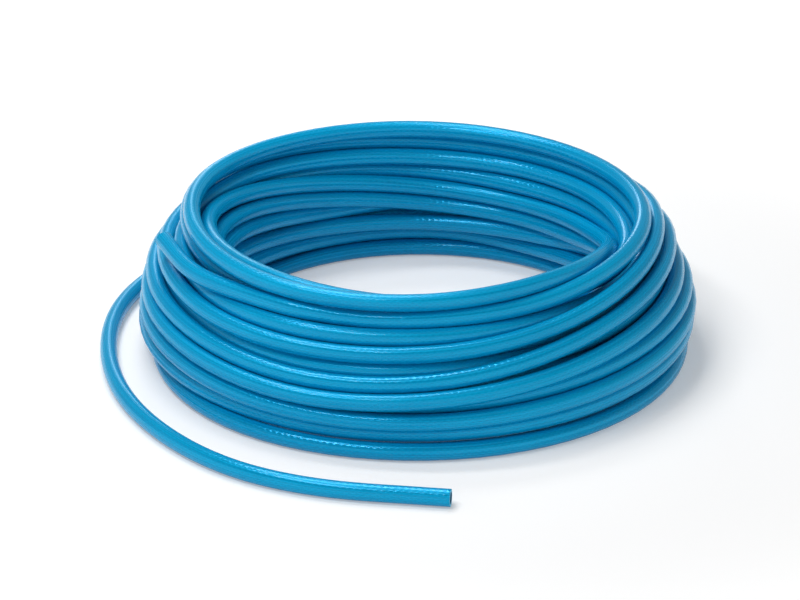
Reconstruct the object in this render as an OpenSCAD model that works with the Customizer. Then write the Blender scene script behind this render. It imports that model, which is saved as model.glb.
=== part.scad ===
// Coil of PVC tubing: thirty turns of braided air hose, wound flat and nested,
// standing on the floor on its bottom turns. One length of hose from end to end.
// X is to the right, Y to the back, Z up. The origin is on the floor at the coil's centre.

/* [Tubing] */
// Outside diameter of the tubing
tube_od = 19; // [12:0.5:25]
// Inside diameter, the size that a hose tail is pushed into
tube_bore = 13; // [6:0.5:17]

/* [Coil] */
// Clear diameter through the middle of the coil
eye_d = 444; // [320:1:600]
// Space left between neighbouring turns
turn_gap = 0.3; // [0.2:0.1:1]
// How far the bottom turns are pressed flat by the weight above them
foot_flat = 0.15; // [0.05:0.05:0.5]

/* [Free ends] */
// Length of the straight cut end, bored to take a fitting
end_length = 40; // [20:1:60]
// Angle round the coil at which the outer turn leaves for the floor
floor_leave = 62; // [0:1:359]
// Angle round the coil at which the top turn leaves for its cut end
top_leave = 240; // [0:1:359]
// How far the outer turn goes round before it dives under
floor_sweep = 322; // [180:1:324]
// How far the top turn goes round before it dives under
top_sweep = 285; // [180:1:290]

/* [Hidden] */

// Turns that each layer holds, from the floor up, and how far in from the eye
// its first one starts, in whole turns. Odd layers sit half a turn further out.
TURNS = [3, 3, 4, 4, 4, 3, 3, 2, 1, 1];
FIRST = [1, 0, 0, 0, 0, 0, 0, 0, 0, 0];
TOP_LAYER = len(TURNS) - 1;

tube_r = tube_od / 2;
pitch = tube_od + turn_gap;
rise = sqrt(tube_od * tube_od - pitch * pitch / 4) + turn_gap;
foot_z = tube_r - foot_flat;

// Width at which a turn that lies by itself on another is joined to it
contact_w = 4;
// How much slimmer the swept stretches are, so that their corners stay in the round,
// and how far they reach into the turn and the cut end that they join
swept_r = tube_r - 0.05;
swept_reach = 1;
// Depth of the bore in a cut end, which stops a wall short of the bend
bore_depth = end_length - (tube_od - tube_bore) / 2;

ROUND = 64;
SIDES = 12;
STEPS = 2;
LEAD = 15;

// Radius from the coil's axis, and height, of the turn at a place in a layer
function turn_r(layer, place) =
    eye_d / 2 + tube_r + pitch * (place + (layer % 2) / 2);
function turn_z(layer) = foot_z + rise * layer;
function turn(layer, place) = [turn_r(layer, place), turn_z(layer)];
function first_turn(layer) = turn(layer, FIRST[layer]);
function last_turn(layer) = turn(layer, FIRST[layer] + TURNS[layer] - 1);

// The two turns that end free, each just outside the others of its layer
floor_turn = turn(1, TURNS[1]);
top_turn = turn(TOP_LAYER - 1, 1);

// The hand-laid ends, as the points that steer a smooth curve. Each has the degrees gone
// round since it left its turn, how far it is outside that turn in widths of a turn, and
// how far up in heights of a layer: above the floor, or above the top turn.
FLOOR_ROUTE = [
    [30, 1.35, 0.35], [45, 1.9, 0], [60, 2.35, 0], [75, 2.55, 0], [90, 2.6, 0],
    [105, 2.5, 0], [120, 2.35, 0], [135, 2.65, 0], [150, 3.3, 0], [165, 4.2, 0],
    [179, 5.1, 0], [191, 5.4, 0], [200, 5.45, 0], [207, 5.5, 0], [215, 5.95, 0]
];
TOP_ROUTE = [[27, 0.65, 0.45], [35, 1, 0.4], [43, 1.15, 0.3], [51, 1.45, 0.25]];

// Three steering points that make a curve start on a turn, along it, at an angle
function lead_in(where, at, turning) =
    let (r = where[0] * 3 / (2 + cos(LEAD)))
    [for (i = [-1:1]) [r * cos(at + i * turning * LEAD), r * sin(at + i * turning * LEAD), where[1]]];

// The steering points of a route that leaves a turn at an angle
function steered(route, where, at, turning, low) = [
    for (s = route)
        let (r = where[0] + s[1] * pitch, a = at + s[0] * turning)
        [r * cos(a), r * sin(a), low + s[2] * rise]
];

// A uniform cubic B-spline: its point and its direction in one span
function spline_point(p, i, t) =
    let (s = 1 - t)
    (s * s * s * p[i] + (3 * t * t * t - 6 * t * t + 4) * p[i + 1]
        + (3 * s * s * s - 6 * s * s + 4) * p[i + 2] + t * t * t * p[i + 3]) / 6;
function spline_heading(p, i, t) =
    let (s = 1 - t,
         d = -s * s * p[i] + (3 * t * t - 4 * t) * p[i + 1]
             + (4 * s - 3 * s * s) * p[i + 2] + t * t * p[i + 3])
    d / norm(d);
function spline_rings(p) = [
    for (i = [0:len(p) - 4], k = [0:STEPS - (i == len(p) - 4 ? 0 : 1)])
        [spline_point(p, i, k / STEPS), spline_heading(p, i, k / STEPS)]
];

// Rings carried straight on past both ends of a curve
function carried_on(rings) =
    let (first = rings[0], last = rings[len(rings) - 1])
    concat(
        [[first[0] - swept_reach * first[1], first[1]]],
        rings,
        [[last[0] + swept_reach * last[1], last[1]]]
    );

// Points of one ring of the swept tube, square to its heading, one of them lowest
function ring(at, heading) =
    let (side = cross(heading, [0, 0, 1]) / norm(cross(heading, [0, 0, 1])), up = cross(side, heading))
    [for (k = [0:SIDES - 1]) at + swept_r * (cos(k * 360 / SIDES) * side + sin(k * 360 / SIDES) * up)];

// A closed tube of straight facets through the rings of a route
module swept(rings) {
    n = len(rings);
    polyhedron(
        points = [for (r = rings) each ring(r[0], r[1])],
        faces = concat(
            [[for (k = [SIDES - 1:-1:0]) k]],
            [for (j = [0:n - 2], k = [0:SIDES - 1]) each
                let (a = j * SIDES + k, b = j * SIDES + (k + 1) % SIDES)
                [[a, b, a + SIDES], [b, b + SIDES, a + SIDES]]],
            [[for (k = [0:SIDES - 1]) (n - 1) * SIDES + k]]
        )
    );
}

// A straight cut end with its bore, from a place along a heading
module cut_end(at, heading) {
    translate(at)
        rotate([0, acos(heading[2]), atan2(heading[1], heading[0])])
            difference() {
                cylinder(h = end_length, d = tube_od, $fn = ROUND);
                translate([0, 0, end_length - bore_depth])
                    cylinder(h = 2 * bore_depth, d = tube_bore, $fn = ROUND);
            }
}

// A turn that lies loose in its groove, leaves it at an angle, lies on what is low and ends cut off
module free_turn(where, at, turning, sweep, route, low) {
    rings = spline_rings(concat(lead_in(where, at, turning), steered(route, where, at, turning, low)));
    rotate([0, 0, turning > 0 ? at - sweep : at])
        rotate_extrude(angle = sweep, $fn = ROUND)
            translate(where) circle(d = tube_od, $fn = ROUND);
    swept(carried_on(rings));
    cut_end(rings[len(rings) - 1][0], rings[len(rings) - 1][1]);
}

// The pile of turns cut through: round where it shows, filled where it can't be seen
module pile_section() {
    half = [contact_w / 2, 0];
    wide = [for (k = [0:TOP_LAYER]) if (TURNS[k] > 1) k];
    narrow = [for (k = [len(wide) - 1:TOP_LAYER]) k];
    for (k = [0:TOP_LAYER], i = [0:TURNS[k] - 1])
        translate(turn(k, FIRST[k] + i)) circle(d = tube_od, $fn = ROUND);
    polygon(concat(
        [for (k = wide) last_turn(k)],
        [for (k = narrow) first_turn(k) + half],
        [for (i = [len(narrow) - 1:-1:0]) first_turn(narrow[i]) - half],
        [for (i = [len(wide) - 2:-1:0]) first_turn(wide[i])]
    ));
}

module coil() {
    color([0.0, 0.52, 0.73])
        rotate_extrude($fn = 2 * ROUND)
            difference() {
                pile_section();
                translate([0, -tube_od]) square([eye_d, tube_od]);
            }
}

module floor_end() {
    color([0.0, 0.55, 0.76])
        free_turn(floor_turn, floor_leave, 1, floor_sweep, FLOOR_ROUTE, tube_r);
}

module top_end() {
    color([0.0, 0.58, 0.79])
        free_turn(top_turn, top_leave, -1, top_sweep, TOP_ROUTE, top_turn[1]);
}

coil();
floor_end();
top_end();
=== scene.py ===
"""Looks of a coil of PVC tubing: one long hose, wound by hand into a loose pile of turns."""
import math

import bmesh
import bpy
import numpy as np
from bpy.props import FloatProperty, FloatVectorProperty, IntProperty, PointerProperty
from bpy.types import Operator, Panel, PropertyGroup
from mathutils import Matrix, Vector


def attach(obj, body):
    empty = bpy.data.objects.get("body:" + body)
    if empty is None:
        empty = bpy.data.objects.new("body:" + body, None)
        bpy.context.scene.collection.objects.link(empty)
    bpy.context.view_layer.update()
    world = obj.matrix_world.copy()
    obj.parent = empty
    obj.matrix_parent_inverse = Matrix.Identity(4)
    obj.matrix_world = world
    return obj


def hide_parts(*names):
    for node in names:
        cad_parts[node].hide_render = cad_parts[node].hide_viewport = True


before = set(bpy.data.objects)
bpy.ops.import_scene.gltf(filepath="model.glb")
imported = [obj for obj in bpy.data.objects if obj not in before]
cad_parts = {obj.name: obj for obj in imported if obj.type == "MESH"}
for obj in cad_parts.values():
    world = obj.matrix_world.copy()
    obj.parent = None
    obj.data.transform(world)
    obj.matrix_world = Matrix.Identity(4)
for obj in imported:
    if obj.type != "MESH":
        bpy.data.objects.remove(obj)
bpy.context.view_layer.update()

bl_info = {
    "name": "Coil of PVC tubing",
    "version": (1, 0, 0),
    "blender": (4, 5, 0),
    "location": "3D View > Sidebar > Tubing",
    "description": "Winds a coil of PVC tubing turn by turn, finishes it and sets the studio round it",
    "category": "Object",
}

MM = 0.001

# The winding, in the order in which the tubing was laid. Each turn has its groove in the pile,
# (layer, place): the layer counts up from the floor, the place counts tubes out from the eye,
# and an odd layer sits half a tube further out.
TURNS = [
    (1, 3), (0, 3), (0, 2), (0, 1), (1, 0), (1, 1), (1, 2), (2, 3), (2, 2), (2, 1),
    (2, 0), (3, 0), (3, 1), (3, 2), (3, 3), (4, 3), (4, 2), (4, 1), (4, 0), (5, 0),
    (5, 1), (5, 2), (6, 2), (6, 1), (6, 0), (7, 0), (7, 1), (8, 0), (9, 0), (8, 1),
]
# Where a turn strays from its groove. A bearing is in degrees: 0 right, -90 front, 180 left,
# 90 back. At that bearing the tube's centre lies (tube widths out from the eye's edge, tube
# widths up from the floor).
STRAYS = {
    0: {45: (4.25, 1.8), 30: (4.05, 2.1), 0: (4, 2.35), -45: (3.95, 1.75), -90: (3.3, 1.35),
        -125: (3.55, 1.15), -150: (3.8, 1.45), 180: (3.95, 1.95), 150: (4.2, 1.6), 120: (4.8, 1.25),
        105: (5.2, 0.85), 90: (5.55, 0.5), 75: (5.4, 0.5)},
    1: {60: (5.1, 0.5), 45: (4.45, 0.5), 0: (3.45, 0.5), -45: (4.05, 0.5), -90: (4.25, 0.5),
        -125: (4.2, 0.5), -150: (3.6, 0.5), 180: (3.25, 0.5), 135: (3.05, 0.5), 105: (4.2, 0.5),
        90: (4.55, 0.5), 75: (4.4, 0.5)},
    2: {60: (4.1, 0.5), 45: (3.45, 0.5), 0: (2.45, 0.5), 180: (2.25, 0.5), 135: (2, 0.5),
        105: (3.2, 0.5), 90: (3.55, 0.5), 75: (3.4, 0.5)},
    3: {60: (3.1, 0.5), 45: (2.45, 0.5), 0: (1.45, 0.5), 180: (1.25, 0.5), 135: (1, 0.5),
        120: (1.7, 0.5), 105: (2.2, 0.5), 90: (2.55, 0.5), 75: (2.4, 0.5)},
    4: {60: (2.1, 0.5), 45: (1.55, 0.5), 0: (0.95, 1.35), 120: (2.85, 1.4), 90: (3.8, 1.35)},
    5: {90: (4.8, 1.4)},
    6: {135: (4.2, 1.45), 105: (4.95, 1.8), 90: (5.3, 2.2), 75: (5.05, 2.4)},
    7: {60: (4.65, 2.45), 30: (4.15, 3), 0: (4.05, 3.25), -45: (4.05, 2.8), -90: (4.05, 2.05),
        -125: (3.95, 2.1), -150: (3.8, 2.75), 180: (3.95, 3.05), 135: (4.3, 2.45), 90: (4.3, 2.35),
        75: (4, 2.3)},
    8: {60: (3.6, 2.25), 90: (3.4, 2.25)},
    9: {120: (2.4, 2.3), 90: (2.85, 2.35)},
    10: {180: (0.65, 2.25), 150: (0.95, 2.1), 135: (1.45, 1.75), 120: (1.75, 1.55),
         105: (2.15, 1.4), 90: (2.8, 1.4), 75: (2.6, 1.45)},
    11: {60: (1.8, 1.6), 45: (1.3, 1.85), 30: (1, 2.2), 0: (1, 3.1), 180: (0.85, 3.25),
         150: (0.85, 3.15), 135: (1.05, 2.8), 120: (1.25, 2.6), 105: (1.45, 2.35), 90: (1.6, 2.35),
         75: (1.45, 2.35)},
    12: {60: (1.3, 2.65), 45: (1.05, 2.85), 30: (1.25, 3.15), 120: (3.05, 3.15), 90: (3.45, 3.25)},
    13: {30: (3.7, 4), 0: (3.95, 4.2), -45: (3.75, 3.4), -90: (3.1, 2.85), 90: (4.45, 3.25)},
    14: {30: (3.45, 4.65), 0: (3.25, 5.15), -45: (3.7, 4.4), -90: (4.1, 3.4), -125: (3.95, 3.1),
         -150: (3.85, 3.8), 180: (3.8, 4.05), 90: (5.4, 3.8)},
    15: {0: (2.6, 6.55), -45: (2.95, 5.8), -90: (3.35, 4.1), -125: (3.3, 3.8), -150: (3.25, 4.65),
         180: (3.55, 5.05), 90: (4.1, 5.2)},
    16: {90: (4.45, 4.25)},
    17: {120: (2.95, 4), 90: (3.45, 4.25)},
    18: {180: (0.65, 4.1), 150: (1.25, 4.05), 135: (1.7, 3.9), 120: (2.05, 4), 105: (2.3, 4.15),
         90: (2.45, 4.3), 75: (2.35, 4.45)},
    19: {60: (2.1, 4.65), 45: (1.7, 4.8), 0: (0.95, 4.9), -90: (0.95, 4.85), -150: (0.3, 5.25),
         180: (-0.45, 5.65), 165: (-0.25, 5.3), 150: (0.2, 4.75), 135: (0.7, 4.2),
         120: (1.15, 3.65), 105: (1.85, 3.3), 90: (2.45, 3.3), 75: (2.45, 3.35)},
    20: {60: (2.4, 3.6), 45: (2.3, 4), 30: (2.1, 4.55), 90: (3.1, 5.25)},
    21: {0: (2.2, 5.6), -45: (2.1, 5.05), -90: (2.55, 4.6), -125: (2.6, 4.25), -150: (2.65, 5),
         180: (2.75, 5.35), 90: (3.65, 6.15)},
    22: {0: (1.7, 7.4), -45: (2.1, 6.7), -90: (2.55, 5.6), -125: (2.45, 5.2), -150: (2.4, 5.7),
         180: (3.05, 6.05), 90: (2.65, 6.3)},
    23: {120: (1.9, 6.25), 105: (2, 5.8), 90: (2.1, 5.4), 75: (1.75, 5.3)},
    24: {60: (1.3, 5.2), 45: (0.95, 5.45), 30: (0.8, 5.65), 15: (0.6, 5.65), 0: (0.3, 5.95),
         -90: (0.55, 5.8), 180: (-0.05, 6.55), 165: (0.2, 6.1), 150: (0.4, 5.95), 135: (0.7, 5.3),
         120: (0.95, 4.6), 105: (1.2, 3.95), 90: (1.45, 3.45), 75: (1.25, 3.35)},
    25: {60: (1.05, 3.4), 45: (0.85, 3.6), 30: (0.65, 3.9), 0: (0.2, 5.15), -90: (0.45, 6.65),
         180: (1.35, 7.8), 150: (2.4, 8), 120: (2.1, 7.75), 105: (2.05, 7.5), 90: (2.1, 7.35),
         75: (2, 7.2)},
    26: {60: (1.85, 7.1), 45: (1.75, 7.2), 30: (1.6, 7.25), 0: (1.55, 6.75), -60: (1.85, 6.35),
         -90: (2, 6.45), -125: (2.1, 6.1), 180: (2.1, 6.9), 150: (1.65, 7.55), 120: (1.45, 6.9),
         90: (1.45, 6.55), 75: (1.4, 6.25)},
    27: {60: (1.35, 6.1), 45: (1.3, 6.2), 30: (1.25, 6.25), 15: (0.95, 6.35), 0: (0.55, 6.65),
         -90: (0.35, 7.55), 180: (0.4, 7.75), 165: (0.8, 7.35), 150: (0.9, 6.85), 135: (1.05, 6.35),
         120: (1.2, 5.65), 105: (1.3, 5.05), 90: (1.45, 4.65), 75: (1.2, 4.4)},
    28: {60: (0.95, 4.4), 45: (0.7, 4.6), 30: (0.25, 4.9), 15: (-0.15, 5.2), 0: (-0.6, 6.1),
         -20: (0, 7.45), -45: (0.95, 8.55), -70: (1.3, 8.3), -90: (1.45, 8.25), -125: (1.45, 8.15),
         -150: (1.45, 8.4), 180: (1.45, 8.8), 150: (1.45, 8.65), 120: (1.45, 8.45), 90: (1.45, 8.4),
         75: (1.45, 8.35)},
    29: {60: (1.45, 8.25), 45: (1.45, 8.2), 15: (1.45, 8.3), -20: (1.45, 8.25), -45: (1.45, 8),
         -60: (1.45, 7.65), -75: (1.35, 7.35), -90: (1.25, 7.15), -105: (1.3, 7.05)},
}
# The bearings at which a turn that doesn't stray is led through its groove, and how far the
# loose pile spreads outwards there, in tube widths.
LED = {0: 0.0, -90: 0.0, 180: 0.0, 90: 0.75}
HOLD = 8.0  # how much harder a stray is held to its place than a turn in its groove

# The two free ends leave the pile at these bearings and places.
FLOOR_LEAVE = 62.0
FLOOR_START = (4.6, 1.45)
TOP_LEAVE = 240.0
TOP_START = (1.5, 7.2)
# Their routes: (degrees gone round since leaving, tube widths out, tube widths up).
FLOOR_ROUTE = [
    (15, 5.25, 1.5), (30, 6.1, 1.25), (45, 6.55, 0.65), (60, 6.6, 0.5), (75, 6.65, 0.5),
    (90, 6.7, 0.5), (105, 6.6, 0.5), (120, 6.45, 0.5), (135, 6.75, 0.5), (150, 7.4, 0.5),
    (165, 8.3, 0.5), (179, 9.25, 0.5), (191, 9.5, 0.5), (200, 9.55, 0.5), (207, 9.65, 0.5),
    (215, 10.4, 0.5),
]
TOP_ROUTE = [(27, 2.2, 7.2), (35, 2.55, 7.25), (43, 2.7, 7.35), (51, 3.0, 7.7)]
LEAD_STEP = 15.0
CUT_STEPS = (10, 20, 30, 36, 38.8, 39.6, 40)  # rings on the straight end, mm from its start
SPLINE_STEPS = 10  # points between two steering points of a route

STATIONS = 72  # places per turn at which the winding is worked out
# How the turns settle. In each round they are pulled to their planned places, smoothed, and
# pushed off each other.
SETTLING_ROUNDS = 300
PULL = 0.08  # the share of the way that the firmest places are pulled back in a round
EARLY_PULL = 0.02  # the share added for all places at first, fading to nothing
EASING_FROM = 0.6  # the share of the rounds after which the pull eases off
EASED_PULL = 0.1  # what is left of it at the end
PUSH = 0.6  # the share of an overlap that one push clears
PUSHES = 3
LATE_PUSHES = 8
LATE = 0.8  # the share of the rounds after which there are more pushes
# How far apart the turns' centres are pushed at first, and how much that grows, in tube widths
FIRST_APART = 0.7
APART_GROWS = 0.315
SAG = 0.03 * MM  # how far a turn that is free to move sinks in each round

# The skin: threads that wind round the tube each way, and how deep its relief is.
THREADS = 12
RELIEF = 0.09 * MM
FILM_RELIEF = 0.025 * MM  # the same relief, as the film of gloss over it shows it

ROUNDED = 1.3 * MM  # the length over which the edges of a cut are rounded
ROUNDING = 0.05  # the share of the width that they lose
CUT_REACH = 0.03  # every point of one cut lies within this distance, and the other cut is past it

# The studio
FLOOR_HALF = 40.0
FLOOR_LIFT = 0.26  # how much whiter the floor looks to the camera than its paint is, at the coil
EDGE_LIFT = 0.9  # and far from it
LIFT_FROM = 0.5
LIFT_TO = 1.5
LOOK_AT = (-0.0188, -0.020, 0.0625)
LENS = 224.2
SENSOR = 36


class TubingSize(PropertyGroup):
    outer_d: FloatProperty(name="Tube width", description="Outside diameter of the tubing",
                           default=19 * MM, min=0.012, max=0.025, unit="LENGTH")
    bore_d: FloatProperty(name="Bore", description="Inside diameter of the tubing",
                          default=13 * MM, min=0.004, max=0.02, unit="LENGTH")
    eye_d: FloatProperty(name="Eye", description="Width of the open middle of the coil",
                         default=444 * MM, min=0.2, max=1.0, unit="LENGTH")
    turn_gap: FloatProperty(name="Turn gap", description="Slack between neighbouring turns",
                            default=0.3 * MM, min=0.0, max=0.002, unit="LENGTH")
    sides: IntProperty(name="Sides", description="Flats round the outside of the tube",
                       default=24, min=8, max=32)
    bore_sides: IntProperty(name="Bore sides", description="Flats round the bore",
                            default=14, min=8, max=24)


class TubingFinish(PropertyGroup):
    colour: FloatVectorProperty(name="Colour", description="Colour of the soft PVC skin",
                                subtype="COLOR", size=3, min=0, max=1, default=(0.0, 0.43, 0.75))
    deep: FloatVectorProperty(name="Deep colour", description="Colour in the skin's hollows",
                              subtype="COLOR", size=3, min=0, max=1, default=(0.0, 0.26, 0.53))
    # The bore colour is far darker than the PVC: painted shade for the deep bore.
    inside: FloatVectorProperty(name="Bore shade colour", description="Colour of the bore, darkened as painted shade",
                                subtype="COLOR", size=3, min=0, max=1, default=(0.0, 0.08, 0.18))
    # Lighter than the skin: partly the raw cut PVC, partly a painted highlight on the rim.
    cut: FloatVectorProperty(name="Cut and highlight colour", description="Colour of the cut wall with its painted highlight",
                             subtype="COLOR", size=3, min=0, max=1, default=(0.2, 0.62, 0.85))
    roughness: FloatProperty(name="Roughness", description="How dull the skin is",
                             default=0.25, min=0, max=1, subtype="FACTOR")
    thread: FloatProperty(name="Thread spacing", description="Spacing of the braid's threads",
                          default=3.6 * MM, min=0.001, max=0.02, unit="LENGTH")


class StudioStage(PropertyGroup):
    floor: FloatVectorProperty(name="Floor", description="Colour of the floor", subtype="COLOR",
                               size=3, min=0, max=1, default=(0.8, 0.8, 0.8))
    fill: FloatProperty(name="Fill light", description="Strength of the even light from above",
                        default=0.14, min=0, max=2)
    low_fill: FloatProperty(name="Low fill light", description="Strength of the even light near the floor",
                            default=1.05, min=0, max=3)
    key: FloatProperty(name="Key light", description="Power of the soft lamp in front on the left",
                       default=19.0, min=0, max=500, unit="POWER")
    overhead: FloatProperty(name="Overhead light", description="Power of the wide lamp above",
                            default=8.0, min=0, max=500, unit="POWER")
    streak: FloatProperty(name="Streak light", description="Power of the strip lamp straight above",
                          default=16.0, min=0, max=500, unit="POWER")
    back: FloatProperty(name="Back lamp", description="Power of the strip lamp high behind the coil",
                        default=10.0, min=0, max=500, unit="POWER")
    rim: FloatProperty(name="Rim light", description="Power of the tall narrow lamp behind the coil",
                       default=7.0, min=0, max=500, unit="POWER")
    elevation: FloatProperty(name="Camera elevation", description="How far the camera looks down",
                             default=math.radians(23.5), subtype="ANGLE", unit="ROTATION")
    distance: FloatProperty(name="Camera distance", description="From the camera to the coil",
                            default=5.5, unit="LENGTH")


def groove(size, layer, place):
    """Radius and height of a tube's centre in its groove of the pile."""
    pitch = size.outer_d + size.turn_gap
    rise = math.sqrt(size.outer_d ** 2 - pitch ** 2 / 4) + size.turn_gap
    radius = (size.eye_d + size.outer_d) / 2 + pitch * (place + (layer % 2) / 2)
    return radius, size.outer_d / 2 + rise * layer


def spot(size, out, up):
    """Radius and height of a place given in tube widths."""
    return size.eye_d / 2 + size.outer_d * out, size.outer_d * up


def turns_gone(turn, bearing):
    """How many turns have been laid when this turn passes this bearing."""
    return turn + ((FLOOR_LEAVE - bearing) % 360) / 360


def led_through(size):
    """The marks that the tubing is led through: turns gone, radius, height and hold."""
    last = turns_gone(len(TURNS) - 1, TOP_LEAVE)
    marks = {0.0: (*spot(size, *FLOOR_START), HOLD), last: (*spot(size, *TOP_START), HOLD)}
    for turn, (layer, place) in enumerate(TURNS):
        for bearing, stray in STRAYS.get(turn, {}).items():
            marks[turns_gone(turn, bearing)] = (*spot(size, *stray), HOLD)
        for bearing, spread in LED.items():
            when = turns_gone(turn, bearing)
            if all(abs(when - other) > 0.1 for other in marks):
                radius, height = groove(size, layer, place)
                marks[when] = (radius + spread * size.outer_d, height, 1.0)
    return np.array([(when, *marks[when]) for when in sorted(marks) if when <= last])


def planned(size):
    """Radius and height of the tube's centre at every station, and how hard each is held."""
    marks = led_through(size)
    whens = marks[:, 0]
    places = marks[:, 1:3]
    when = np.arange(int(whens[-1] * STATIONS) + 1) / STATIONS
    before = np.clip(np.searchsorted(whens, when, side="right") - 1, 0, len(whens) - 2)
    slope = np.diff(places, axis=0) / np.diff(whens)[:, None]
    same_way = slope[1:] * slope[:-1] > 0
    total = np.where(same_way, slope[1:] + slope[:-1], 1)
    lean = np.zeros_like(places)
    lean[1:-1] = np.where(same_way, 2 * slope[1:] * slope[:-1] / total, 0)
    span = np.diff(whens)[before][:, None]
    t = (when - whens[before])[:, None] / span
    plan = ((2 * t ** 3 - 3 * t ** 2 + 1) * places[before]
            + (t ** 3 - 2 * t ** 2 + t) * span * lean[before]
            + (3 * t ** 2 - 2 * t ** 3) * places[before + 1]
            + (t ** 3 - t ** 2) * span * lean[before + 1])
    hold = np.exp(np.interp(when, whens, np.log(marks[:, 3])))
    return when, plan, hold


def spline(points, steps):
    """Points along a uniform cubic B-spline."""
    points = [np.array(p, float) for p in points]
    out = []
    for i in range(len(points) - 3):
        for t in np.linspace(0, 1, steps, endpoint=(i == len(points) - 4)):
            s = 1 - t
            out.append((s ** 3 * points[i] + (3 * t ** 3 - 6 * t * t + 4) * points[i + 1]
                        + (3 * s ** 3 - 6 * s * s + 4) * points[i + 2] + t ** 3 * points[i + 3]) / 6)
    return np.array(out)


def free_end(size, start, leave, turning, route):
    """Centre line of a free end, from where it leaves the pile to its cut."""
    radius, height = spot(size, *start)
    lead = radius * 3 / (2 + math.cos(math.radians(LEAD_STEP)))
    points = []
    for i in (-1, 0, 1):
        if i * LEAD_STEP < route[0][0] - 5:
            a = math.radians(leave + i * turning * LEAD_STEP)
            points.append((lead * math.cos(a), lead * math.sin(a), height))
    for degrees, out, up in route:
        a = math.radians(leave + turning * degrees)
        r, h = spot(size, out, up)
        points.append((r * math.cos(a), r * math.sin(a), h))
    line = spline(points, SPLINE_STEPS)
    heading = line[-1] - line[-2]
    heading /= np.linalg.norm(heading)
    return np.vstack([line, [line[-1] + heading * step * MM for step in CUT_STEPS]])


def at_stations(line):
    """Radius and height of a free end where it crosses each station's plane."""
    turned = np.degrees(np.unwrap(np.arctan2(line[:, 1], line[:, 0])))
    order = np.argsort(turned)
    radius = np.hypot(line[:, 0], line[:, 1])[order]
    height = line[order, 2]
    crossed = np.full((STATIONS, 2), np.nan)
    for station in range(STATIONS):
        for lap in (-1, 0, 1, 2):
            a = FLOOR_LEAVE - 360 * station / STATIONS + 360 * lap
            if turned.min() <= a <= turned.max():
                crossed[station] = (np.interp(a, turned[order], radius),
                                    np.interp(a, turned[order], height))
    return crossed


def settled(size, plan, hold, ends):
    """Lets the planned turns settle: they push each other a tube's width apart, and stay smooth."""
    width = size.outer_d
    rows = math.ceil(len(plan) / STATIONS)
    table = np.full((rows + 2, STATIONS, 2), np.nan)
    table[rows:] = [at_stations(end) for end in ends]
    gives = np.full((rows + 2, STATIONS), 1e-9)
    gives[:rows] = 0
    gives[:rows].reshape(-1)[:len(plan)] = 1 / hold
    share = gives[:, None] / (gives[:, None] + gives[None, :] + 1e-12)
    stiff = (hold / HOLD)[:, None]
    loose = slice(3, len(plan) - 3)
    laid = plan.copy()
    for step in range(SETTLING_ROUNDS):
        done = step / SETTLING_ROUNDS
        apart = width * (FIRST_APART + APART_GROWS * min(1, done * 1.5))
        eased = 1
        if done >= EASING_FROM:
            eased = (1 - done) / (1 - EASING_FROM) * (1 - EASED_PULL) + EASED_PULL
        pull = PULL * stiff * eased + EARLY_PULL * (1 - done)
        laid[loose] += (pull * (plan - laid))[loose]
        smoother = np.zeros_like(laid)
        smoother[1:-1] = (laid[:-2] + laid[2:] - 2 * laid[1:-1]) / 4
        laid[loose] += smoother[loose]
        laid[loose, 1] -= SAG * (1 - stiff[loose, 0])
        for _ in range(PUSHES if done < LATE else LATE_PUSHES):
            table[:rows] = np.nan
            table[:rows].reshape(-1, 2)[:len(laid)] = laid
            way = table[:, None] - table[None, :]
            far = np.sqrt((way ** 2).sum(-1))
            close = np.nan_to_num(far, nan=1.0) < apart
            push = np.where(close & (far > 1e-9), (apart - far) / np.maximum(far, 1e-6), 0)
            move = np.nan_to_num(way * (push * share)[..., None]).sum(1)
            laid[loose] += PUSH * move[:rows].reshape(-1, 2)[:len(laid)][loose]
            laid[:, 1] = np.maximum(laid[:, 1], width / 2)
    return laid


def centre_line(size):
    """The tube's whole centre line, from the cut end on the floor to the cut end on top."""
    floor_end = free_end(size, FLOOR_START, FLOOR_LEAVE, 1, FLOOR_ROUTE)
    top_end = free_end(size, TOP_START, TOP_LEAVE, -1, TOP_ROUTE)
    when, plan, hold = planned(size)
    laid = settled(size, plan, hold, (floor_end, top_end))
    around = np.radians(FLOOR_LEAVE - 360 * when)
    pile = np.stack([laid[:, 0] * np.cos(around), laid[:, 0] * np.sin(around), laid[:, 1]], 1)
    line = np.vstack([floor_end[::-1], pile[2:-2], top_end])
    kept = len(CUT_STEPS) + 2  # points at each end that stay as they are, so the ends stay straight
    for _ in range(2):
        line[kept:-kept] = (line[kept - 1:-kept - 1] + 2 * line[kept:-kept]
                            + line[kept + 1:len(line) - kept + 1]) / 4
    return line


def new_node(tree, kind, links=None, **settings):
    """Adds a node, sets its settings, and sets or links its inputs by place or name."""
    node = tree.nodes.new(kind)
    for name, value in settings.items():
        setattr(node, name, value)
    for name, value in (links or {}).items():
        socket = node.inputs[name]
        if isinstance(value, bpy.types.NodeSocket):
            tree.links.new(value, socket)
        else:
            socket.default_value = value
    return node


def sum_up(tree, operation, a, b=0.0, c=0.0):
    """A Math node's output."""
    return new_node(tree, "ShaderNodeMath", {0: a, 1: b, 2: c}, operation=operation).outputs[0]


def skin_places(tree):
    """Angle round the tube, the two parts of its direction, and metres along the tube."""
    ring_x = new_node(tree, "ShaderNodeAttribute", attribute_name="ring_x").outputs["Fac"]
    ring_y = new_node(tree, "ShaderNodeAttribute", attribute_name="ring_y").outputs["Fac"]
    along = new_node(tree, "ShaderNodeAttribute", attribute_name="along").outputs["Fac"]
    angle = sum_up(tree, "ARCTAN2", ring_y, ring_x)
    return angle, ring_x, ring_y, along


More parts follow.
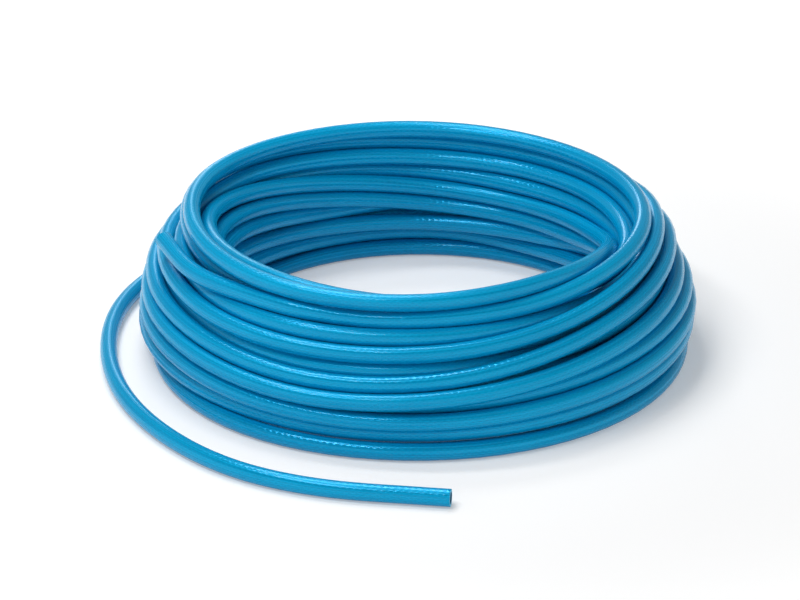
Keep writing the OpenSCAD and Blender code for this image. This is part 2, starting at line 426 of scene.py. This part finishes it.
def tubing_skin(size, finish):
    """Soft PVC with a braid of threads just under a satin skin, drawn out in long fine lines."""
    material = bpy.data.materials.new("tubing_skin")
    material.use_nodes = True
    tree = material.node_tree
    shader = tree.nodes["Principled BSDF"]
    angle, ring_x, ring_y, along = skin_places(tree)

    # Two families of threads wind round the tube, one each way.
    per_metre = math.pi / finish.thread
    lengthwise = sum_up(tree, "MULTIPLY", along, per_metre)
    round_it = sum_up(tree, "MULTIPLY", angle, THREADS)
    one_way = sum_up(tree, "SINE", sum_up(tree, "ADD", round_it, lengthwise))
    other_way = sum_up(tree, "SINE", sum_up(tree, "SUBTRACT", round_it, lengthwise))
    braid = sum_up(tree, "MAXIMUM", one_way, other_way)

    # Fine lines run the length of the tube, where it was drawn through its die.
    drawn = new_node(tree, "ShaderNodeCombineXYZ", {
        "X": sum_up(tree, "MULTIPLY", ring_x, 4.6),
        "Y": sum_up(tree, "MULTIPLY", ring_y, 4.6),
        "Z": sum_up(tree, "MULTIPLY", along, 1.6)}).outputs[0]
    lines = new_node(tree, "ShaderNodeTexNoise", {
        "Vector": drawn, "Scale": 1.0, "Detail": 3.0, "Roughness": 0.65}).outputs["Fac"]
    lines = new_node(tree, "ShaderNodeMapRange", {
        "Value": lines, "From Min": 0.38, "From Max": 0.62}).outputs[0]

    # Slow unevenness along the tube and over the pile.
    place = new_node(tree, "ShaderNodeTexCoord").outputs["Object"]
    slow = new_node(tree, "ShaderNodeTexNoise", {
        "Vector": place, "Scale": 9.0, "Detail": 2.0}).outputs["Fac"]
    grain = new_node(tree, "ShaderNodeTexNoise", {
        "Vector": place, "Scale": 900.0, "Detail": 1.0}).outputs["Fac"]

    share = sum_up(tree, "MULTIPLY_ADD", lines, 0.36, sum_up(tree, "MULTIPLY_ADD", slow, 0.4, 0.05))
    share = sum_up(tree, "MULTIPLY_ADD", braid, 0.12, share)
    colour = tree.nodes.new("ShaderNodeMix")
    colour.data_type = "RGBA"
    tree.links.new(share, colour.inputs["Factor"])
    colour.inputs[6].default_value = (*finish.deep, 1)
    colour.inputs[7].default_value = (*finish.colour, 1)
    tree.links.new(colour.outputs[2], shader.inputs["Base Color"])

    dull = sum_up(tree, "MULTIPLY_ADD", lines, 0.24, finish.roughness - 0.12)
    tree.links.new(dull, shader.inputs["Roughness"])

    knit = sum_up(tree, "MULTIPLY_ADD", braid, 0.8, sum_up(tree, "MULTIPLY", grain, 0.06))
    height = sum_up(tree, "MULTIPLY_ADD", lines, 0.5, knit)
    relief = new_node(tree, "ShaderNodeBump", {
        "Height": height, "Strength": 1.0, "Distance": RELIEF}).outputs["Normal"]
    tree.links.new(relief, shader.inputs["Normal"])
    film = new_node(tree, "ShaderNodeBump", {
        "Height": height, "Strength": 1.0, "Distance": FILM_RELIEF}).outputs["Normal"]
    tree.links.new(film, shader.inputs["Coat Normal"])
    shader.inputs["IOR"].default_value = 1.25
    shader.inputs["Metallic"].default_value = 0.18
    shader.inputs["Coat Weight"].default_value = 0.22
    shader.inputs["Coat Roughness"].default_value = 0.1
    shader.inputs["Coat IOR"].default_value = 1.45
    shader.inputs["Specular Tint"].default_value = (0.4, 0.88, 1.0, 1)
    return material


def bore_wall(finish):
    """The smooth, slightly wavy inside of the tube, coloured dark as painted shade."""
    material = bpy.data.materials.new("tubing_bore")
    material.use_nodes = True
    tree = material.node_tree
    shader = tree.nodes["Principled BSDF"]
    # Base colour: the PVC darkened as painted shade for the deep bore.
    shader.inputs["Base Color"].default_value = (*finish.inside, 1)
    place = new_node(tree, "ShaderNodeTexCoord").outputs["Object"]
    waves = new_node(tree, "ShaderNodeTexNoise", {
        "Vector": place, "Scale": 120.0, "Detail": 1.0}).outputs["Fac"]
    tree.links.new(sum_up(tree, "MULTIPLY_ADD", waves, 0.2, 0.25), shader.inputs["Roughness"])
    relief = new_node(tree, "ShaderNodeBump", {
        "Height": waves, "Strength": 0.4, "Distance": 0.5 * MM}).outputs["Normal"]
    tree.links.new(relief, shader.inputs["Normal"])
    return material


def cut_wall(finish):
    """The wall where the tubing was cut through: raw PVC with the marks of the blade, lightened further by
    a painted highlight.
    """
    material = bpy.data.materials.new("tubing_cut")
    material.use_nodes = True
    tree = material.node_tree
    shader = tree.nodes["Principled BSDF"]
    place = new_node(tree, "ShaderNodeTexCoord").outputs["Object"]
    stretch = new_node(tree, "ShaderNodeMapping", {
        "Vector": place, "Scale": (400.0, 400.0, 2500.0)}).outputs[0]
    marks = new_node(tree, "ShaderNodeTexNoise", {
        "Vector": stretch, "Scale": 1.0, "Detail": 2.0}).outputs["Fac"]
    # The skin colour mixed towards the light cut colour: raw cut PVC, and a painted highlight on the rim.
    colour = tree.nodes.new("ShaderNodeMix")
    colour.data_type = "RGBA"
    tree.links.new(marks, colour.inputs["Factor"])
    colour.inputs[6].default_value = (*finish.colour, 1)
    colour.inputs[7].default_value = (*finish.cut, 1)
    tree.links.new(colour.outputs[2], shader.inputs["Base Color"])
    shader.inputs["Roughness"].default_value = 0.55
    relief = new_node(tree, "ShaderNodeBump", {
        "Height": marks, "Strength": 0.5, "Distance": 0.2 * MM}).outputs["Normal"]
    tree.links.new(relief, shader.inputs["Normal"])
    return material


def swept_ring(tree, line, sides, diameter, trim, material):
    """Nodes that sweep a ring along the line; trim names the ring's size at each point."""
    radius = sum_up(tree, "DIVIDE", diameter, 2.0)
    ring = new_node(tree, "GeometryNodeCurvePrimitiveCircle", {
        "Resolution": sides, "Radius": radius}).outputs["Curve"]
    across = new_node(tree, "ShaderNodeSeparateXYZ", {
        0: new_node(tree, "GeometryNodeInputPosition").outputs[0]})
    for name, side in (("ring_x", "X"), ("ring_y", "Y")):
        share = sum_up(tree, "DIVIDE", across.outputs[side], radius)
        ring = new_node(tree, "GeometryNodeStoreNamedAttribute", {
            "Geometry": ring, "Name": name, "Value": share},
            data_type="FLOAT", domain="POINT").outputs["Geometry"]
    trimmed = new_node(tree, "GeometryNodeInputNamedAttribute", {"Name": trim},
                       data_type="FLOAT").outputs["Attribute"]
    sized = new_node(tree, "GeometryNodeSetCurveRadius", {
        "Curve": line, "Radius": trimmed}).outputs["Curve"]
    skin = new_node(tree, "GeometryNodeCurveToMesh", {
        "Curve": sized, "Profile Curve": ring}).outputs["Mesh"]
    return new_node(tree, "GeometryNodeSetMaterial", {
        "Geometry": skin, "Material": material}).outputs["Geometry"]


def tube_tree(skin, bore):
    """Geometry Nodes that draw the tube's outside and its bore along a centre line."""
    tree = bpy.data.node_groups.new("tube_along_line", "GeometryNodeTree")
    face = tree.interface
    face.new_socket("Geometry", in_out="INPUT", socket_type="NodeSocketGeometry")
    face.new_socket("Outer diameter", in_out="INPUT", socket_type="NodeSocketFloat")
    face.new_socket("Bore diameter", in_out="INPUT", socket_type="NodeSocketFloat")
    face.new_socket("Sides", in_out="INPUT", socket_type="NodeSocketInt")
    face.new_socket("Bore sides", in_out="INPUT", socket_type="NodeSocketInt")
    face.new_socket("Geometry", in_out="OUTPUT", socket_type="NodeSocketGeometry")
    start = tree.nodes.new("NodeGroupInput").outputs
    end = tree.nodes.new("NodeGroupOutput")
    line = new_node(tree, "GeometryNodeMeshToCurve", {"Mesh": start["Geometry"]}).outputs["Curve"]
    line = new_node(tree, "GeometryNodeSetCurveNormal", {"Curve": line}, mode="Z_UP").outputs["Curve"]
    outside = swept_ring(tree, line, start["Sides"], start["Outer diameter"], "outer_trim", skin)
    inside = swept_ring(tree, line, start["Bore sides"], start["Bore diameter"], "bore_trim", bore)
    inside = new_node(tree, "GeometryNodeFlipFaces", {"Mesh": inside}).outputs["Mesh"]
    both = tree.nodes.new("GeometryNodeJoinGeometry")
    tree.links.new(outside, both.inputs[0])
    tree.links.new(inside, both.inputs[0])
    smooth = new_node(tree, "GeometryNodeSetShadeSmooth", {"Geometry": both.outputs[0]})
    real = new_node(tree, "GeometryNodeRealizeInstances", {"Geometry": smooth.outputs[0]})
    tree.links.new(real.outputs[0], end.inputs["Geometry"])
    return tree


def set_input(modifier, name, value):
    """Sets one named input of a Geometry Nodes modifier."""
    for item in modifier.node_group.interface.items_tree:
        if item.in_out == "INPUT" and item.name == name:
            modifier[item.identifier] = value
            return
    raise KeyError(name)


def marked_line(line):
    """The centre line as a mesh, with the metres along it and the trim of its rings."""
    mesh = bpy.data.meshes.new("tubing_line")
    mesh.from_pydata([tuple(p) for p in line], [(i, i + 1) for i in range(len(line) - 1)], [])
    gone = np.concatenate([[0], np.cumsum(np.linalg.norm(np.diff(line, axis=0), axis=1))])
    from_cut = np.minimum(gone, gone[-1] - gone)
    worn = ROUNDING * np.clip(1 - from_cut / ROUNDED, 0, 1) ** 2
    for name, values in (("along", gone), ("outer_trim", 1 - worn), ("bore_trim", 1 + worn)):
        mesh.attributes.new(name, "FLOAT", "POINT").data.foreach_set("value", values)
    return mesh


def close_cut_ends(mesh, material_index):
    """Joins the outside to the bore at both cuts, so that the wall is closed."""
    work = bmesh.new()
    work.from_mesh(mesh)
    open_edges = [edge for edge in work.edges if edge.is_boundary]
    first = open_edges[0].verts[0].co.copy()
    for near in (True, False):
        rim = [edge for edge in open_edges if ((edge.verts[0].co - first).length < CUT_REACH) == near]
        made = bmesh.ops.bridge_loops(work, edges=rim)
        for wall in made["faces"]:
            wall.material_index = material_index
            wall.smooth = False
    if any(edge.is_boundary for edge in work.edges):
        raise RuntimeError("the tube's wall isn't closed")
    if work.calc_volume(signed=True) < 0:
        bmesh.ops.reverse_faces(work, faces=work.faces)
    work.to_mesh(mesh)
    work.free()


class COIL_OT_tubing(Operator):
    """Winds the tubing and sweeps its wall along the winding"""
    bl_idname = "coil.tubing"
    bl_label = "Tubing"

    def execute(self, context):
        size = context.scene.tubing_size
        finish = context.scene.tubing_finish
        line = centre_line(size)
        skin, bore, cut = tubing_skin(size, finish), bore_wall(finish), cut_wall(finish)
        rough = bpy.data.objects.new("tubing_line", marked_line(line))
        context.collection.objects.link(rough)
        modifier = rough.modifiers.new("tube", "NODES")
        modifier.node_group = tube_tree(skin, bore)
        set_input(modifier, "Outer diameter", size.outer_d)
        set_input(modifier, "Bore diameter", size.bore_d)
        set_input(modifier, "Sides", size.sides)
        set_input(modifier, "Bore sides", size.bore_sides)
        graph = context.evaluated_depsgraph_get()
        graph.update()
        swept = bpy.data.meshes.new_from_object(rough.evaluated_get(graph))
        bpy.data.objects.remove(rough)
        if not swept.polygons:
            raise RuntimeError("the tube came out empty")
        swept.materials.append(cut)
        close_cut_ends(swept, len(swept.materials) - 1)
        tubing = bpy.data.objects.new("tubing", swept)
        context.collection.objects.link(tubing)
        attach(tubing, "root")
        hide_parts("coil", "floor_end", "top_end")
        return {"FINISHED"}


def aim(obj, target):
    """Turns a lamp or camera to look at a point."""
    obj.rotation_euler = (Vector(target) - obj.location).to_track_quat("-Z", "Y").to_euler()


def soft_lamp(context, name, place, size, power, target):
    """A rectangular soft lamp that looks at a point."""
    lamp = bpy.data.lights.new(name, "AREA")
    lamp.shape = "RECTANGLE"
    lamp.size, lamp.size_y = size
    lamp.energy = power
    box = bpy.data.objects.new(name, lamp)
    box.location = place
    box.visible_camera = False
    context.collection.objects.link(box)
    aim(box, target)


def seen_white(tree):
    """1 for rays that the camera sees straight, mirrored or through glass, and 0 for other light."""
    path = new_node(tree, "ShaderNodeLightPath").outputs
    seen = sum_up(tree, "MAXIMUM", path["Is Camera Ray"], path["Is Glossy Ray"])
    return sum_up(tree, "MAXIMUM", seen, path["Is Transmission Ray"])


def studio_floor(context, stage):
    """A wide pale floor, lifted towards white for the camera, that keeps its shadows."""
    corners = [(x * FLOOR_HALF, y * FLOOR_HALF, 0) for x, y in ((-1, -1), (1, -1), (1, 1), (-1, 1))]
    mesh = bpy.data.meshes.new("floor")
    mesh.from_pydata(corners, [], [(0, 1, 2, 3)])
    floor = bpy.data.objects.new("floor", mesh)
    context.collection.objects.link(floor)
    paint = bpy.data.materials.new("floor_paint")
    paint.use_nodes = True
    tree = paint.node_tree
    shader = tree.nodes["Principled BSDF"]
    shader.inputs["Base Color"].default_value = (*stage.floor, 1)
    shader.inputs["Roughness"].default_value = 0.95
    shader.inputs["Specular IOR Level"].default_value = 0.0
    shader.inputs["Emission Color"].default_value = (1, 1, 1, 1)
    place = new_node(tree, "ShaderNodeTexCoord").outputs["Object"]
    away = new_node(tree, "ShaderNodeVectorMath", {0: place}, operation="LENGTH").outputs["Value"]
    lift = new_node(tree, "ShaderNodeMapRange", {
        "Value": away, "From Min": LIFT_FROM, "From Max": LIFT_TO,
        "To Min": FLOOR_LIFT, "To Max": EDGE_LIFT}, interpolation_type="SMOOTHSTEP").outputs[0]
    tree.links.new(sum_up(tree, "MULTIPLY", seen_white(tree), lift), shader.inputs["Emission Strength"])
    mesh.materials.append(paint)


class COIL_OT_stage(Operator):
    """Sets the floor, the lights and the camera"""
    bl_idname = "coil.stage"
    bl_label = "Stage"

    def execute(self, context):
        stage = context.scene.coil_stage
        scene = context.scene
        scene.view_settings.view_transform = "Standard"
        studio_floor(context, stage)
        world = bpy.data.worlds.new("studio")
        scene.world = world
        world.use_nodes = True
        tree = world.node_tree
        backdrop = tree.nodes["Background"]
        backdrop.inputs["Color"].default_value = (1, 1, 1, 1)
        way = new_node(tree, "ShaderNodeTexCoord").outputs["Generated"]
        parts = new_node(tree, "ShaderNodeSeparateXYZ", {0: way}).outputs
        low = new_node(tree, "ShaderNodeMapRange", {
            "Value": parts["Z"], "From Min": 0.2, "From Max": 0.7,
            "To Min": stage.low_fill, "To Max": 0.0}, interpolation_type="SMOOTHSTEP").outputs[0]
        front = new_node(tree, "ShaderNodeMapRange", {
            "Value": parts["Y"], "From Min": -0.1, "From Max": 0.6,
            "To Min": 1.0, "To Max": 0.2}, interpolation_type="SMOOTHSTEP").outputs[0]
        tree.links.new(sum_up(tree, "MULTIPLY_ADD", low, front, stage.fill), backdrop.inputs["Strength"])
        soft_lamp(context, "key", (-0.95, -0.8, 2.2), (1.5, 0.3), stage.key, (0, 0, 0.1))
        soft_lamp(context, "streak", (-0.55, 0.5, 2.3), (1.2, 0.3), stage.streak, (-0.55, 0.5, 0))
        soft_lamp(context, "back", (-0.4, 1.25, 2.15), (1.1, 0.3), stage.back, (0, 0, 0.1))
        soft_lamp(context, "overhead", (-0.3, -0.1, 2.8), (3.2, 2.4), stage.overhead, (-0.3, -0.1, 0))
        soft_lamp(context, "rim", (-0.45, 3.0, 1.25), (0.45, 1.3), stage.rim, (0, 0, 0.1))
        camera = bpy.data.cameras.new("camera")
        camera.lens = LENS
        camera.sensor_width = SENSOR
        eye = bpy.data.objects.new("camera", camera)
        eye.location = (LOOK_AT[0], LOOK_AT[1] - stage.distance * math.cos(stage.elevation),
                        LOOK_AT[2] + stage.distance * math.sin(stage.elevation))
        context.collection.objects.link(eye)
        aim(eye, LOOK_AT)
        scene.camera = eye
        return {"FINISHED"}


class COIL_PT_panel(Panel):
    """Builds the coil piece by piece"""
    bl_idname = "COIL_PT_panel"
    bl_label = "Coil of tubing"
    bl_space_type = "VIEW_3D"
    bl_region_type = "UI"
    bl_category = "Tubing"

    def draw(self, context):
        for operator in OPERATORS:
            self.layout.operator(operator.bl_idname)


OPERATORS = (COIL_OT_tubing, COIL_OT_stage)
CLASSES = (TubingSize, TubingFinish, StudioStage, *OPERATORS, COIL_PT_panel)


def register():
    for cls in CLASSES:
        bpy.utils.register_class(cls)
    bpy.types.Scene.tubing_size = PointerProperty(type=TubingSize)
    bpy.types.Scene.tubing_finish = PointerProperty(type=TubingFinish)
    bpy.types.Scene.coil_stage = PointerProperty(type=StudioStage)


def unregister():
    del bpy.types.Scene.coil_stage
    del bpy.types.Scene.tubing_finish
    del bpy.types.Scene.tubing_size
    for cls in reversed(CLASSES):
        bpy.utils.unregister_class(cls)


def main():
    register()
    bpy.ops.coil.stage()
    bpy.ops.coil.tubing()


if __name__ == "__main__":
    main()
